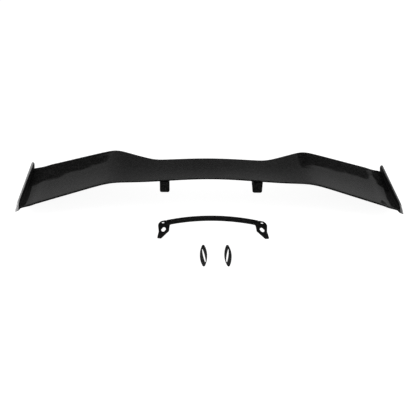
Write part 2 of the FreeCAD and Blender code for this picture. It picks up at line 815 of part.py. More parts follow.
def make_lugs():
    """Clevis lugs bonded and screwed under the wing; their ears straddle the pylon cores."""
    body = new_body("lug_blank")
    middle = "-pylon_spacing / 2"
    base = new_sketch(body, "base", "YZ_Plane", bound(f"{middle} - lug_width / 2"))
    draw_polygon(base, [
        ("lug_rear_y", "lug_rear_z - lug_base_depth"),
        ("lug_front_y", "lug_front_z - lug_base_depth"),
        ("lug_front_y", "lug_top_z"),
        ("lug_rear_y", "lug_top_z"),
    ])
    pad(body, base, "lug_width", "Base")
    gap = "core_thickness / 2 + ear_gap"
    for name, offset in (("Outer", f"{middle} - ({gap}) - ear_thickness"), ("Inner", f"{middle} + {gap}")):
        ear = new_sketch(body, f"ear_{name}", "YZ_Plane", bound(offset))
        draw_polygon(ear, [
            ("pivot_y - clamp_reach - ear_radius", "lug_rear_z"),
            ("pivot_y - clamp_reach - ear_radius", "pivot_z"),
            ("pivot_y - clamp_reach - ear_radius / 2", "pivot_z - ear_radius"),
            ("pivot_y + ear_radius / 2", "pivot_z - ear_radius"),
            ("pivot_y + ear_radius", "pivot_z"),
            ("pivot_y + ear_radius", "lug_front_z"),
        ])
        pad(body, ear, "ear_thickness", f"Ear{name}")
    bolts = new_sketch(body, "bolt_holes", "YZ_Plane", bound(middle))
    draw_circle(bolts, "pivot_y", "pivot_z", "pivot_bolt_radius + fit_clearance")
    draw_circle(bolts, "pivot_y - clamp_reach", "pivot_z", "clamp_bolt_radius + fit_clearance")
    pocket(body, bolts, name="BoltHoles")
    window = new_sketch(body, "ear_window", "YZ_Plane", bound(middle))
    draw_polygon(window, [
        ("pivot_y - clamp_reach + ear_radius", "pivot_z - ear_radius / 2"),
        ("pivot_y - ear_radius", "pivot_z - ear_radius / 2"),
        ("pivot_y - 1.4 * ear_radius", "pivot_z + ear_radius"),
        ("pivot_y - clamp_reach + 1.4 * ear_radius", "pivot_z + ear_radius"),
    ])
    pocket(body, window, name="EarWindow")
    half = size("lug_width")
    places = local_stations(-size("pylon_spacing") / 2 - half, -size("pylon_spacing") / 2 + half)
    envelope = span_solid(lambda x: envelope_loop(x, -size("bond_gap")), places)
    clearance = size("lug_screw_radius") + size("fit_clearance")
    lug = body.Shape.cut([envelope] + lug_screw_holes(clearance))
    left = feature("left_wing_lug", lug)
    mirrored(left, "right_wing_lug")


def make_lug_screws():
    """Screws from below the lugs, through the lower skin, into the mount blocks."""
    screws = []
    head_height = size("plate_screw_head_height")
    for side in SIDES:
        for x, y in lug_screw_places(side):
            seat = lug_screw_seat(y)
            length = lower_surface_z(x, y) + size("lug_screw_reach") - seat
            screws.append(button_screw(
                Vector(x, y, seat - head_height), UP, size("lug_screw_radius"),
                size("lug_screw_head"), head_height, length))
    feature("lug_screws", compound_of(screws))


def make_cross_bolts():
    """Pivot and clamp bolts with their washers and nuts, in both lugs."""
    grip = size("core_thickness") / 2 + size("ear_gap") + size("ear_thickness")
    washer = size("washer_thickness")
    head = size("bolt_head_height")
    nut = size("nut_height")
    for word, y, radius in (
        ("pivot", size("pivot_y"), size("pivot_bolt_radius")),
        ("clamp", clamp_y(), size("clamp_bolt_radius")),
    ):
        bolts, washers, nuts = [], [], []
        for side in SIDES:
            inward = ACROSS * -side
            axis = Vector(pylon_x(side), y, size("pivot_z"))
            outer_face = axis - inward * (grip + washer)
            inner_face = axis + inward * grip
            bolts.append(button_screw(
                outer_face - inward * head, inward, radius, radius * HEAD_RATIO, head,
                2 * (grip + washer) + nut + BOLT_END))
            for face in (outer_face, inner_face):
                ring = cylinder(radius * WASHER_RATIO, washer, face, inward)
                washers.append(ring.cut(
                    cylinder(radius + size("fit_clearance"), washer, face, inward)))
            nut_face = inner_face + inward * washer
            blank = hexagon(nut_face, inward, radius * NUT_RATIO, nut)
            nuts.append(blank.cut(
                cylinder(radius + size("running_clearance"), nut, nut_face, inward)))
        feature(f"{word}_bolts", compound_of(bolts))
        feature(f"{word}_washers", compound_of(washers))
        feature(f"{word}_nuts", compound_of(nuts))


HEAD_RATIO = 1.55
WASHER_RATIO = 1.75
NUT_RATIO = 1.55
BOLT_END = 0.6


# ---------------------------------------------------------------- pylons

def make_cores():
    """Machined T sections: a foot that is bolted to the car and a web that carries the pivot."""
    body = new_body("left_pylon_core")
    middle = "-pylon_spacing / 2"
    foot = new_sketch(body, "foot", "XY_Plane")
    draw_polygon(foot, [
        (f"{middle} - foot_plate_width / 2", "-foot_plate_length / 2"),
        (f"{middle} + foot_plate_width / 2", "-foot_plate_length / 2"),
        (f"{middle} + foot_plate_width / 2", "foot_plate_length / 2"),
        (f"{middle} - foot_plate_width / 2", "foot_plate_length / 2"),
    ])
    pad(body, foot, "foot_plate_height", "Foot")
    web = new_sketch(body, "web", "YZ_Plane", bound(f"{middle} - core_thickness / 2"))
    draw_polygon(web, [
        ("core_rear_y", "foot_plate_height / 2"),
        ("core_front_y", "foot_plate_height / 2"),
        ("core_front_y", "pivot_z"),
        ("pivot_y + ear_radius", "core_top_z"),
        ("core_rear_y", "core_top_z"),
    ])
    pad(body, web, "core_thickness", "Web")
    upright = lambda edge: abs(edge.tangentAt(edge.FirstParameter).z) > 0.99
    corner = lambda edge: upright(edge) and abs(edge.CenterOfMass.y) > size("foot_plate_length") / 2 - 1
    fillet(body, body.Tip, corner, "foot_round", "FootCorners")
    pivot = new_sketch(body, "pivot_bore", "YZ_Plane", bound(middle))
    draw_circle(pivot, "pivot_y", "pivot_z", "bush_radius + running_clearance / 2")
    pocket(body, pivot, name="PivotBore")
    slot = new_sketch(body, "clamp_slot", "YZ_Plane", bound(middle))
    half = "(clamp_bolt_radius + slot_play)"
    draw_polygon(slot, [
        (f"pivot_y - clamp_reach - {half} + slot_play / 2", "slot_low_z"),
        (f"pivot_y - clamp_reach + {half} + slot_play / 2", "slot_low_z"),
        (f"pivot_y - clamp_reach + {half} + slot_play / 2", "slot_high_z"),
        (f"pivot_y - clamp_reach - {half} + slot_play / 2", "slot_high_z"),
    ])
    pocket(body, slot, name="ClampSlot")
    inserts = new_sketch(body, "insert_bores", "XY_Plane")
    for across, along in mount_expressions():
        draw_circle(inserts, f"{middle} {across}", along, "insert_radius + fit_clearance / 2")
    pocket(body, inserts, "foot_plate_height + mount_relief", reverse=True, name="InsertBores")
    keep(body, "left_pylon_core")
    mirrored(body, "right_pylon_core")


def mount_expressions():
    """(sideways offset, y) of a left foot's two mounting threads."""
    return (("- mount_front_out", "mount_front_y"), ("- mount_rear_out", "mount_rear_y"))


def mount_places(side):
    """(x, y) of a foot's two mounting threads; the front one is further outboard."""
    return (
        (pylon_x(side) + side * size("mount_front_out"), size("mount_front_y")),
        (pylon_x(side) + side * size("mount_rear_out"), size("mount_rear_y")),
    )


def make_foot_inserts():
    """Steel thread inserts in the feet, which take the bolts from below the deck."""
    inserts = []
    for side in SIDES:
        for x, y in mount_places(side):
            start = Vector(x, y, 0)
            blank = cylinder(size("insert_radius"), size("foot_plate_height"), start, UP)
            inserts.append(blank.cut(
                cylinder(size("mount_radius"), size("foot_plate_height"), start, UP)))
    feature("foot_inserts", compound_of(inserts))


def fairing_corners(inset):
    """Plan of a left fairing, inset all round."""
    middle = "-pylon_spacing / 2"
    rear = f"(pylon_width / 2 - {inset})"
    front = f"(pylon_front_width / 2 - {inset})"
    end = f"(pylon_length / 2 - {inset})"
    return [
        (f"{middle} - {rear}", f"-{end}"),
        (f"{middle} + {rear}", f"-{end}"),
        (f"{middle} + {front}", end),
        (f"{middle} - {front}", end),
    ]


def cut_corners(corners, chamfer):
    """Replaces the corners of a fairing's plan by short slanting sides."""
    (left, rear), (right, _), (front_right, front), (front_left, _) = corners
    return [
        (f"{left} + {chamfer}", rear),
        (f"{right} - {chamfer}", rear),
        (right, f"{rear} + {chamfer}"),
        (front_right, f"{front} - {chamfer}"),
        (f"{front_right} - {chamfer}", front),
        (f"{front_left} + {chamfer}", front),
        (front_left, f"{front} - {chamfer}"),
        (left, f"{rear} + {chamfer}"),
    ]


def make_fairings():
    """Laminate covers around the cores, with tool openings over the bolts."""
    body = new_body("left_pylon_fairing")
    plan = new_sketch(body, "plan", "XY_Plane")
    draw_polygon(plan, fairing_corners("0"))
    shell = pad(body, plan, "pylon_height", "Shell")
    upright = lambda edge: abs(edge.tangentAt(edge.FirstParameter).z) > 0.9
    fillet(body, shell, upright, "fairing_corner", "UprightCorners")
    at_foot = lambda edge: edge.BoundBox.ZMax < 0.01
    fillet(body, body.Tip, at_foot, "foot_round", "FootRound")
    boot = new_sketch(body, "boot_plan", "XY_Plane", bound("fairing_flange"))
    draw_polygon(boot, cut_corners(fairing_corners("(foot_round - 1)"), "(foot_round - 1)"))
    pocket(body, boot, "foot_round", reverse=True, name="Boot")
    cavity = new_sketch(body, "cavity_plan", "XY_Plane", bound("foot_round + fairing_wall"))
    draw_polygon(cavity, cut_corners(fairing_corners("fairing_wall"), "(foot_round + 1)"))
    pocket(body, cavity, "pylon_height", reverse=True, name="Cavity")
    opening = new_sketch(body, "foot_opening", "XY_Plane")
    side = "(foot_plate_width / 2 + bond_gap)"
    end = "(foot_plate_length / 2 + bond_gap)"
    middle = "-pylon_spacing / 2"
    draw_polygon(opening, [
        (f"{middle} - {side}", f"-{end}"),
        (f"{middle} + {side}", f"-{end}"),
        (f"{middle} + {side}", end),
        (f"{middle} - {side}", end),
    ])
    pocket(body, opening, "foot_plate_height + 2", reverse=True, name="FootOpening")
    crown = new_sketch(body, "crown", "YZ_Plane", bound(middle))
    draw_polygon(crown, [
        ("-pylon_length", "2 * fairing_rear_z"),
        ("-pylon_length / 2", "fairing_rear_z"),
        ("pylon_length / 2", "fairing_front_z"),
        ("pylon_length", "2 * fairing_rear_z"),
    ])
    pocket(body, crown, name="Crown")
    access = new_sketch(body, "tool_openings", "YZ_Plane", bound(middle))
    draw_circle(access, "pivot_y", "pivot_z", "access_radius")
    draw_circle(access, "pivot_y - clamp_reach", "pivot_z", "access_radius")
    pocket(body, access, "pylon_width", name="ToolOpenings")
    keep(body, "left_pylon_fairing")
    mirrored(body, "right_pylon_fairing")


def make_bushes():
    """Plain bronze bushes between the cores and the pivot bolts."""
    bushes = []
    for side in SIDES:
        start = Vector(pylon_x(side) - size("core_thickness") / 2, size("pivot_y"), size("pivot_z"))
        outer = cylinder(size("bush_radius"), size("core_thickness"), start, ACROSS)
        bore = size("pivot_bolt_radius") + size("running_clearance")
        bushes.append(outer.cut(cylinder(bore, size("core_thickness"), start, ACROSS)))
    feature("pivot_bushes", compound_of(bushes))


# ---------------------------------------------------------------- kit pieces

def rounded_face(corners, radius, z):
    """A flat face whose convex corners are rounded by a radius."""
    points = [Vector(x, y, z) for x, y in corners]
    wire = Part.makePolygon(points + [points[0]])
    inner = wire.makeOffset2D(-radius)
    return Part.Face(inner.makeOffset2D(radius))


def pad_corners(side):
    """Outline of one bracket pad around its window, as offsets (outboard, ahead)."""
    outline = [
        (6, 58), (20, 53), (29, 40), (32, 26), (28, -16), (33, -56), (17, -58),
        (-15, -8), (-17, 30), (-23, 38), (-23, 58),
    ]
    centre = pylon_x(side)
    return [(centre + side * outboard, size("window_rest_y") + ahead) for outboard, ahead in outline]


def arc_band(front_centre, front_end, depth, half_width, z):
    """A face between two concentric-looking arcs, arched forward."""
    y = size("window_rest_y")
    rear_centre, rear_end = front_centre - depth, front_end - depth
    front = Part.Arc(
        Vector(-half_width, y + front_end, z), Vector(0, y + front_centre, z),
        Vector(half_width, y + front_end, z)).toShape()
    rear = Part.Arc(
        Vector(-half_width, y + rear_end, z), Vector(0, y + rear_centre, z),
        Vector(half_width, y + rear_end, z)).toShape()
    left = Part.makeLine(rear.Vertexes[0].Point, front.Vertexes[0].Point)
    right = Part.makeLine(front.Vertexes[-1].Point, rear.Vertexes[-1].Point)
    return Part.Face(Part.Wire(Part.sortEdges([front, right, rear, left])[0]))


def bracket_plan(grow, z):
    """Plan of the whole bracket, drawn in by a negative grow."""
    half = size("pylon_spacing") / 2 - PAD_OVERLAP
    band = arc_band(
        size("bar_front_centre") + grow, size("bar_front_end") + grow,
        size("bar_depth") + 2 * grow, half, z)
    faces = []
    for side in SIDES:
        face = rounded_face(pad_corners(side), PAD_ROUND, z)
        if grow:
            face = Part.Face(face.OuterWire.makeOffset2D(grow))
        faces.append(face)
    return band, faces


PAD_OVERLAP = 4
PAD_ROUND = 3.5
WINDOW_ROUND = 6
BEAD_WIDTH = 3.5
BEAD_HEIGHT = 1
BEAD_MARGIN = 20            # from the bead's ends to the ends of the bar
BEAD_END_LIFT = 4           # keeps the shorter bead on the bar's middle line


def window_face(side, grow, z):
    """The four-cornered window of a pad, with rounded corners."""
    wide, long = size("window_half_width"), size("window_half_length")
    centre = pylon_x(side) + side * size("window_out")
    y = size("window_rest_y")
    corners = [
        (centre - side * wide * 0.2, y + long), (centre - side * wide, y),
        (centre + side * wide * 0.3, y - long), (centre + side * wide, y - long * 0.1),
    ]
    face = rounded_face(corners, WINDOW_ROUND, z)
    return Part.Face(face.OuterWire.makeOffset2D(grow)) if grow else face


def make_tie_bracket():
    """Inverted channel that ties the two feet together below the deck."""
    ground = size("ground_z")
    height = size("bracket_height")
    web = size("bracket_web")
    rim = size("bracket_rim")
    bar_top = height - BEAD_HEIGHT
    pad_top = size("pad_height")
    band, pads = bracket_plan(0, ground)
    body = band.extrude(UP * bar_top).fuse([face.extrude(UP * pad_top) for face in pads])
    inner_band, inner_pads = bracket_plan(-rim, ground)
    hollow = inner_band.extrude(UP * (bar_top - web))
    hollow = hollow.fuse([face.extrude(UP * (pad_top - web)) for face in inner_pads])
    for side in SIDES:
        hollow = hollow.cut(window_face(side, rim, ground).extrude(UP * height))
        hollow = hollow.cut(cylinder(
            size("small_hole_radius") + rim, height, small_hole_foot(side), UP))
    body = body.cut(hollow)
    for side in SIDES:
        body = body.cut(window_face(side, 0, ground).extrude(UP * height))
        body = body.cut(cylinder(size("small_hole_radius"), height, small_hole_foot(side), UP))
    half = size("pylon_spacing") / 2 - PAD_OVERLAP - BEAD_MARGIN
    middle = (size("bar_depth") - BEAD_WIDTH) / 2
    bead = arc_band(
        size("bar_front_centre") - middle, size("bar_front_end") - middle + BEAD_END_LIFT,
        BEAD_WIDTH, half, ground + bar_top - 1)
    body = body.fuse(bead.extrude(UP * (1 + BEAD_HEIGHT))).removeSplitter()
    bracket = feature("tie_bracket", body)
    bracket.Placement = Placement(Vector(size("bracket_rest_x"), 0, 0), Rotation())


def small_hole_foot(side):
    """Bolt hole of a pad; once the bracket is fitted the front bolt passes through it."""
    x, _ = mount_places(side)[0]
    ahead = size("window_rest_y") + size("small_hole_ahead")
    return Vector(x + side * size("small_hole_out"), ahead, size("ground_z"))


def leaf(label, length, width, height, round_radius, base_z):
    """A pointed oval prism: what two overlapping cylinders share, with its tips rounded."""
    radius = f"((({length}) / 2) ^ 2 + (({width}) / 2) ^ 2) / ({width})"
    shift = f"({radius}) - ({width}) / 2"
    halves = []
    for name, sign in (("a", ""), ("b", "-")):
        half = doc.addObject("Part::Cylinder", f"{label}_{name}")
        half.setExpression("Radius", bound(radius))
        half.setExpression("Height", bound(height))
        half.setExpression("Placement.Base.x", bound(f"{sign}({shift})"))
        half.setExpression("Placement.Base.z", bound(base_z))
        halves.append(half)
    both = doc.addObject("Part::Common", f"{label}_common")
    both.Base, both.Tool = halves
    doc.recompute()
    tips = edge_names(both.Shape, lambda edge: abs(edge.tangentAt(edge.FirstParameter).z) > 0.99)
    rounded = doc.addObject("Part::Fillet", f"{label}_rounded")
    rounded.Base = both
    rounded.Edges = [(int(name[4:]), round_radius, round_radius) for name in tips]
    doc.recompute()
    return rounded


def subtract(label, base, tool):
    cut = doc.addObject("Part::Cut", label)
    cut.Base, cut.Tool = base, tool
    doc.recompute()
    return cut


def make_foot_seals():
    """Rubber cups that seal the deck around each foot's bolts."""
    outer_round, cup_round, slit_round = 5, 3, 1
    outer = leaf("seal_outer", "seal_length", "seal_width", "seal_height", outer_round, "0")
    shrink = "2 * seal_wall"
    cup = leaf(
        "seal_cup", f"seal_length - 4 * {shrink}", f"seal_width - {shrink}",
        "seal_height", cup_round, "seal_floor")
    slit = leaf("seal_slit", "slit_length", "slit_width", "seal_height", slit_round, "0")
    slit.setExpression("Placement.Rotation.Angle", bound("slit_turn"))
    slit.Placement = Placement(Vector(size("slit_shift"), 0, 0), Rotation(UP, size("slit_turn")))
    hollow = subtract("seal_hollow", outer, cup)
    seal = subtract("left_foot_seal", hollow, slit)
    seal.setExpression("Placement.Base.x", bound("seal_pair_x - seal_rest_half_gap"))
    seal.setExpression("Placement.Base.y", bound("seal_rest_y"))
    seal.setExpression("Placement.Base.z", bound("ground_z"))
    doc.recompute()
    keep(seal, "left_foot_seal")
    mirrored(seal, "right_foot_seal", size("seal_pair_x"))


# ---------------------------------------------------------------- build, test and write

def add_derived_sizes():
    """Heights that follow from the wing's surface, so that the sketches can use them."""
    middle = pylon_x(-1)
    underside = {end: lower_surface_z(middle, size(f"lug_{end}_y")) for end in ("rear", "front")}
    for end, z in underside.items():
        add_size(f"lug_{end}_z", z, f"underside above the lug's {end} end")
    top = underside["rear"] + size("lug_base_depth")
    add_size("lug_top_z", top, "top of the lug's blank, inside the wing")
    for index, (_, z) in enumerate(plate_screw_places()):
        add_size(f"plate_screw_z_{ORDINALS[index]}", z, "height of an end plate screw")
    reach = size("clamp_reach")
    room = size("clamp_bolt_radius") + size("slot_play")
    low = size("pivot_z") - reach * math.sin(math.radians(size("incidence_down"))) - room
    high = size("pivot_z") + reach * math.sin(math.radians(size("incidence_up"))) + room
    add_size("slot_low_z", low, "lower end of the clamp slot")
    add_size("slot_high_z", high, "upper end of the clamp slot")
    doc.recompute()


for make in (
    add_derived_sizes, make_wing_skins, make_wing_structure, make_tip_ribs, make_mount_blocks,
    make_end_plates, make_plate_screws, make_lugs, make_lug_screws, make_cross_bolts, make_cores,
    make_foot_inserts, make_fairings, make_bushes, make_tie_bracket, make_foot_seals,
):
    make()
doc.recompute()

for item in doc.Objects:
    if "Invalid" in item.State or "Error" in item.State:
        raise RuntimeError(f"{item.Label} failed: {item.State}")
os.makedirs("parts", exist_ok=True)
for piece in PIECES:
    if piece.Shape.isNull() or not piece.Shape.isValid():
        raise RuntimeError(f"{piece.Label} has a bad shape")
    piece.Shape.exportStep(f"parts/{piece.Label}.step")
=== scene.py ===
"""Looks of a full-width rear wing on two short pylons, with its tie bracket and foot seals."""

import json
import math

import bmesh
import bpy
import numpy as np
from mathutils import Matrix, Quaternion, Vector


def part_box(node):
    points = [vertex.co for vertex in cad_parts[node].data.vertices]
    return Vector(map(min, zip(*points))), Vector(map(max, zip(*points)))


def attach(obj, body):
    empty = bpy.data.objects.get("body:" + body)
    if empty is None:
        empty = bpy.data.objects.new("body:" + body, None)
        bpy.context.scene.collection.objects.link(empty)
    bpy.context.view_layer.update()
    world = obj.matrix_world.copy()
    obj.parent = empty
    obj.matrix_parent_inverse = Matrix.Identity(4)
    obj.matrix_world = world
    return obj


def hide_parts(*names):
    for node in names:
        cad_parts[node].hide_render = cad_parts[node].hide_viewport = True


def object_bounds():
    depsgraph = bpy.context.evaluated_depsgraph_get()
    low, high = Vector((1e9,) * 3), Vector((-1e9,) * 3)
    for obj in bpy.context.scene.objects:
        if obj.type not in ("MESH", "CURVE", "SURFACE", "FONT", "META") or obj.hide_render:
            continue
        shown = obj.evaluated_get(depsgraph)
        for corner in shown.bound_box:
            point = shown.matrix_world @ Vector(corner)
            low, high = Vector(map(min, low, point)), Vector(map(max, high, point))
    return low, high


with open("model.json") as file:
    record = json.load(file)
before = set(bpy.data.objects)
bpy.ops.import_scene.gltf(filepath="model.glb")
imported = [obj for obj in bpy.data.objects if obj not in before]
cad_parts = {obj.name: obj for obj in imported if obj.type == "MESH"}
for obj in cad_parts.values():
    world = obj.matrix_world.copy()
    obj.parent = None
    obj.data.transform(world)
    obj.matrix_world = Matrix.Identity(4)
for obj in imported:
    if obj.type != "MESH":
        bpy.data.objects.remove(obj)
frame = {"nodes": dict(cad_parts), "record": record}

NODES = frame["nodes"]
CAD_BOX = [list(corner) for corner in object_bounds()]
GROUND = CAD_BOX[0][2]


# ---------------------------------------------------------------- shader building

EDGE_SOFTNESS = 0.0008      # how far the worn edges of every piece are rounded
MIX_FIRST, MIX_SECOND, MIX_RESULT = 6, 7, 2     # the colour sockets of Blender's Mix node
WHITE = (1.0, 1.0, 1.0, 1.0)


class Shader:
    """The nodes of a material or of the world, put together by short calls that return sockets."""

    def __init__(self, owner):
        owner.use_nodes = True
        self.owner = owner
        self.tree = owner.node_tree

    def node(self, kind, **settings):
        made = self.tree.nodes.new(kind)
        for key, value in settings.items():
            setattr(made, key, value)
        return made

    def feed(self, target, value):
        """Links a socket to an input, or sets the input to a plain value."""
        if isinstance(value, bpy.types.NodeSocket):
            self.tree.links.new(value, target)
        else:
            target.default_value = value

    def feed_all(self, targets, values):
        for target, value in zip(targets, values):
            self.feed(target, value)

    def math(self, operation, *values):
        made = self.node("ShaderNodeMath", operation=operation)
        self.feed_all(made.inputs, values)
        return made.outputs[0]

    def plus(self, first, second):
        return self.math("ADD", first, second)

    def minus(self, first, second):
        return self.math("SUBTRACT", first, second)

    def times(self, first, second):
        return self.math("MULTIPLY", first, second)

    def over(self, first, second):
        return self.math("DIVIDE", first, second)

    def size(self, value):
        return self.math("ABSOLUTE", value)

    def remap(self, value, low, high, to_low, to_high):
        """Turns the range low..high into to_low..to_high, and stays at its ends beyond them."""
        made = self.node("ShaderNodeMapRange", clamp=True)
        self.feed_all(made.inputs, (value, low, high, to_low, to_high))
        return made.outputs[0]

    def blend(self, factor, first, second):
        made = self.node("ShaderNodeMix", data_type="RGBA")
        self.feed(made.inputs[0], factor)
        self.feed(made.inputs[MIX_FIRST], first)
        self.feed(made.inputs[MIX_SECOND], second)
        return made.outputs[MIX_RESULT]

    def grey(self, value):
        made = self.node("ShaderNodeCombineColor")
        self.feed_all(made.inputs, (value, value, value))
        return made.outputs[0]

    def vector(self, *values):
        made = self.node("ShaderNodeCombineXYZ")
        self.feed_all(made.inputs, values)
        return made.outputs[0]

    def parts(self, vector):
        """The X, Y and Z sockets of a vector."""
        split = self.node("ShaderNodeSeparateXYZ")
        self.feed(split.inputs[0], vector)
        return tuple(split.outputs)

    def place(self):
        """Position on the object, in metres."""
        return self.node("ShaderNodeTexCoord").outputs["Object"]

    def facing(self, kind="Normal"):
        """How far a face looks along X, Y and Z."""
        return self.parts(self.node("ShaderNodeNewGeometry").outputs[kind])

    def noise(self, scale, detail=2.0, vector=None):
        made = self.node("ShaderNodeTexNoise")
        self.feed(made.inputs["Scale"], scale)
        self.feed(made.inputs["Detail"], detail)
        self.feed(made.inputs["Vector"], self.place() if vector is None else vector)
        return made.outputs["Fac"]

    def random(self, vector):
        made = self.node("ShaderNodeTexWhiteNoise", noise_dimensions="3D")
        self.feed(made.inputs["Vector"], vector)
        return made.outputs["Value"]

    def soft_edges(self):
        """A normal that rounds crisp edges slightly, so that they catch the light."""
        made = self.node("ShaderNodeBevel", samples=4)
        made.inputs["Radius"].default_value = EDGE_SOFTNESS
        return made.outputs[0]

    def bump(self, height, distance, strength, base=None):
        made = self.node("ShaderNodeBump")
        self.feed(made.inputs["Height"], height)
        self.feed(made.inputs["Distance"], distance)
        self.feed(made.inputs["Strength"], strength)
        if base is not None:
            self.feed(made.inputs["Normal"], base)
        return made.outputs[0]

    def set(self, **values):
        """Feeds the surface's inputs and returns the material."""
        surface = self.tree.nodes["Principled BSDF"]
        for key, value in values.items():
            self.feed(surface.inputs[key.replace("_", " ")], value)
        return self.owner


def new_material(name):
    return Shader(bpy.data.materials.new(name))


# ---------------------------------------------------------------- materials

TOW_WIDTH = 0.0022          # width of one carbon tow
TWILL_REPEAT = 4.0          # tows after which the twill repeats
TWILL_OVER = 1.5            # splits the repeat into two tows that pass over and two that pass under
SPECKLE = 0.0045            # size of the painted glints: specks of painted highlight in the cloth's tone
SPECKLE_FROM = 0.45         # share of the specks that get no painted glint
TOW_TONE, WARP_TONE, FLOAT_TONE = 0.4, 0.4, 0.4     # base tone, what warp adds, what chance adds
FACING = 0.75               # a face turned this far towards an axis counts as facing it
RIM_FACING = 0.97           # a face turned this far sideways shows no pale ply ends or painted highlight at all
COAT_IOR = 1.5


def weave_plane(shader):
    """Coordinates in the cloth's own plane: X and Y, with Z in place of one on upright faces."""
    x, y, z = shader.parts(shader.place())
    sideways_part, rearward_part, _ = shader.facing()
    sideways = shader.math("GREATER_THAN", shader.size(sideways_part), FACING)
    rearward = shader.math("GREATER_THAN", shader.size(rearward_part), FACING)
    across = shader.plus(x, shader.times(sideways, shader.minus(z, x)))
    along = shader.plus(y, shader.times(rearward, shader.minus(z, y)))
    return across, along


def tow_crown(shader, place):
    """Height across a tow, from its place in tow widths."""
    centred = shader.minus(shader.math("FRACT", place), 0.5)
    return shader.minus(0.25, shader.times(centred, centred))


def twill(shader, across, along):
    """Which tow is on top, the tows' height and a chance value for each float."""
    diagonal = TOW_WIDTH * math.sqrt(2)
    u = shader.over(shader.plus(across, along), diagonal)
    v = shader.over(shader.minus(along, across), diagonal)
    row = shader.math("FLOOR", u)
    column = shader.math("FLOOR", v)
    turn = shader.math("FLOORED_MODULO", shader.plus(row, column), TWILL_REPEAT)
    warp = shader.math("LESS_THAN", turn, TWILL_OVER)
    weft = shader.minus(1.0, warp)
    height = shader.plus(shader.times(warp, tow_crown(shader, v)),
                         shader.times(weft, tow_crown(shader, u)))
    return warp, height, shader.random(shader.vector(row, column, warp))


def painted_glints(shader, across, along, strength):
    """Painted glints: a scatter of square specks of painted highlight, each with its own brightness.
    """
    speck_row = shader.math("FLOOR", shader.over(across, SPECKLE))
    speck_column = shader.math("FLOOR", shader.over(along, SPECKLE))
    chance = shader.random(shader.vector(speck_row, speck_column, 0.0))
    return shader.remap(chance, SPECKLE_FROM, 1.0, 0.0, strength)


def ply_ends_and_painted_highlight(shader, strength):
    """The pale ends of the plies together with a painted highlight, both painted on the narrow faces
    along a plate's edge.
    """
    sideways_part, _, _ = shader.facing("True Normal")
    edge = shader.remap(shader.size(sideways_part), FACING, RIM_FACING, 1.0, 0.0)
    streaks = shader.remap(shader.noise(260.0), 0.35, 0.65, 0.6, 1.3)
    return shader.times(shader.times(edge, streaks), strength)


def carbon(name, coat, depth, glint, rim=0.0):
    """Twill carbon cloth: two sets of tows at 45 degrees, under a clear coat of the given weight.

    The depth scales the cloth's tone, and glint is the strength of its painted glints, specks of
    painted highlight, on that scale.
    With a rim, the narrow faces along a plate's edge are painted paler: partly the pale ends of the
    plies, partly a painted highlight.
    """
    shader = new_material(name)
    across, along = weave_plane(shader)
    warp, height, chance = twill(shader, across, along)
    tone = shader.plus(shader.times(warp, WARP_TONE), TOW_TONE)
    tone = shader.plus(tone, shader.times(chance, FLOAT_TONE))
    # painted glints: specks of painted highlight added to the cloth's tone
    tone = shader.plus(tone, painted_glints(shader, across, along, glint))
    cloud = shader.remap(shader.noise(9.0, 3.0), 0.3, 0.7, 0.85, 1.15)
    tone = shader.times(shader.times(tone, cloud), depth)
    if rim:
        # the rim's paleness: partly ply ends, partly a painted highlight
        tone = shader.plus(tone, ply_ends_and_painted_highlight(shader, rim))
    return shader.set(
        Base_Color=shader.grey(tone),
        Metallic=0.2,
        Specular_IOR_Level=0.1,
        Roughness=shader.remap(chance, 0.0, 1.0, 0.3, 0.46),
        Normal=shader.bump(height, 0.0004, 0.3, shader.soft_edges()),
        Coat_Weight=coat,
        Coat_Roughness=shader.remap(shader.noise(700.0), 0.4, 0.8, 0.02, 0.06),
        Coat_IOR=COAT_IOR,
        Coat_Normal=shader.soft_edges(),
    )


def moulded(name, tone, roughness, grain, coat=0.0):
    """Dark moulding with a fine grain and a little unevenness of tone."""
    shader = new_material(name)
    patch = shader.remap(shader.noise(25.0, 3.0), 0.3, 0.7, 0.8, 1.25)
    fine = shader.noise(grain, 3.0)
    return shader.set(
        Base_Color=shader.grey(shader.times(patch, tone)),
        Roughness=shader.remap(fine, 0.3, 0.7, roughness * 0.85, roughness * 1.2),
        Normal=shader.bump(fine, 0.0002, 0.25, shader.soft_edges()),
        Coat_Weight=coat,
        Coat_Roughness=0.05,
    )


def metal(name, colour, roughness, streak):
    """Metal with fine tool marks that are drawn out along Y."""
    shader = new_material(name)
    x, y, z = shader.parts(shader.place())
    stretched = shader.vector(
        shader.times(x, streak), shader.times(y, streak * 0.1), shader.times(z, streak))
    marks = shader.noise(1.0, vector=stretched)
    darker = tuple(part * 0.8 for part in colour) + (1.0,)
    tint = shader.blend(shader.remap(marks, 0.3, 0.7, 0.0, 1.0), darker, colour + (1.0,))
    return shader.set(
        Base_Color=tint,
        Metallic=1.0,
        Roughness=shader.remap(marks, 0.3, 0.7, roughness * 0.8, roughness * 1.25),
        Normal=shader.bump(marks, 0.0001, 0.2, shader.soft_edges()),
    )


def filler_board(name):
    """Machined filler board, inside the wing."""
    shader = new_material(name)
    cells = shader.noise(900.0)
    tint = shader.blend(cells, (0.13, 0.115, 0.08, 1.0), (0.2, 0.18, 0.13, 1.0))
    return shader.set(Base_Color=tint, Roughness=0.8, Normal=shader.bump(cells, 0.0003, 0.4))


MATERIALS = {
    "carbon_gloss": carbon("carbon_gloss", 1.0, 0.0015, 9.0),
    "carbon_raw": carbon("carbon_raw", 0.0, 0.05, 0.3),
    "bonding_core": filler_board("bonding_core"),
    "gloss_black": moulded("gloss_black", 0.003, 0.32, 350.0, coat=0.3),
    "anodised_black": metal("anodised_black", (0.05, 0.05, 0.052), 0.4, 900.0),
    "seal_rubber": moulded("seal_rubber", 0.006, 0.5, 500.0),
    "steel": metal("steel", (0.6, 0.6, 0.61), 0.3, 1500.0),
    "black_steel": metal("black_steel", (0.06, 0.06, 0.062), 0.35, 1500.0),
    "bronze": metal("bronze", (0.62, 0.42, 0.22), 0.35, 1200.0),
}
